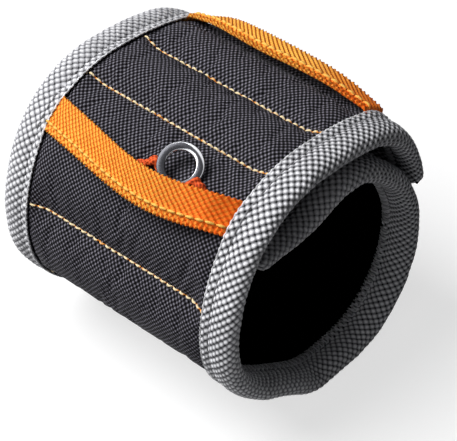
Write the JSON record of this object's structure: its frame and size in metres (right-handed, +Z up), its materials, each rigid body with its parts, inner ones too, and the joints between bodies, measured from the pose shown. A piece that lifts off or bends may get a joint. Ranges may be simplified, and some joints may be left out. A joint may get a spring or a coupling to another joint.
{
  "type": "magnetic wristband",
  "caption": "Padded fabric wristband with hidden magnets, bound edges, tool straps, a split ring and a hook and loop closure.",
  "frame": {"origin": "on the floor under the middle of the closed band, which lies on its side", "axes": "+Y along the cuff's axis, away from the near opening; +X towards the closure flap's end; +Z up"},
  "size_m": [0.0914, 0.09, 0.0957],
  "materials": {
    "shell_fabric": "coarse ballistic weave",
    "lining_fabric": "brushed knit",
    "foam": "open cell foam",
    "grey_webbing": "coarse woven webbing",
    "orange_webbing": "woven webbing",
    "red_webbing": "woven elastic",
    "hook_loop": "hook and loop pile",
    "ring_steel": "polished",
    "magnet": "plated"
  },
  "bodies": {
    "base": {"outer_shell_base": "shell_fabric", "lining_base": "lining_fabric", "edge_binding_near_base": "grey_webbing", "edge_binding_far_base": "grey_webbing", "foam_pad_left": "foam", "foam_pad_lower": "foam", "foam_pad_bottom": "foam", "foam_pad_right": "foam", "foam_pad_side": "foam", "magnet_third_row_1": "magnet", "magnet_third_row_2": "magnet", "magnet_third_row_3": "magnet", "magnet_fourth_row_1": "magnet", "magnet_fourth_row_2": "magnet", "magnet_fourth_row_3": "magnet", "magnet_fifth_row_1": "magnet", "magnet_fifth_row_2": "magnet", "magnet_fifth_row_3": "magnet"},
    "upper": {"outer_shell_upper": "shell_fabric", "lining_upper": "lining_fabric", "edge_binding_near_upper": "grey_webbing", "edge_binding_far_upper": "grey_webbing", "foam_pad_top": "foam", "foam_pad_strap": "foam", "magnet_second_row_1": "magnet", "magnet_second_row_2": "magnet", "magnet_second_row_3": "magnet", "tool_strap_front": "orange_webbing", "ring_keeper_loop": "red_webbing"},
    "closure_flap": {"outer_shell_flap": "shell_fabric", "lining_flap": "lining_fabric", "edge_binding_near_flap": "grey_webbing", "edge_binding_far_flap": "grey_webbing", "end_binding_flap": "grey_webbing", "foam_pad_flap": "foam", "magnet_first_row_1": "magnet", "magnet_first_row_2": "magnet", "magnet_first_row_3": "magnet", "hook_patch": "hook_loop", "tool_strap_rear": "orange_webbing"},
    "inner_flap": {"outer_shell_inner": "shell_fabric", "lining_inner": "lining_fabric", "edge_binding_near_inner": "grey_webbing", "edge_binding_far_inner": "grey_webbing", "end_binding_inner": "grey_webbing", "foam_pad_inner": "foam", "loop_patch": "hook_loop"},
    "ring": {"split_ring": "ring_steel"}
  },
  "joints": [
    {"name": "band_opens", "type": "hinge", "parent": "base", "child": "upper", "pos_m": [-0.0447, 0, 0.059], "axis": [0, -1, 0], "range_deg": [0, 40]},
    {"name": "closure_flap_peels", "type": "hinge", "parent": "upper", "child": "closure_flap", "pos_m": [0.00742, 0, 0.09239], "axis": [0, -1, 0], "range_deg": [0, 85]},
    {"name": "inner_flap_curls", "type": "hinge", "parent": "base", "child": "inner_flap", "pos_m": [0.03707, 0, 0.04759], "axis": [0, -1, 0], "range_deg": [0, 15]},
    {"name": "ring_swings", "type": "hinge", "parent": "upper", "child": "ring", "pos_m": [-0.03106, -0.0125, 0.08953], "axis": [0, -1, 0], "range_deg": [0, 30]}
  ]
}
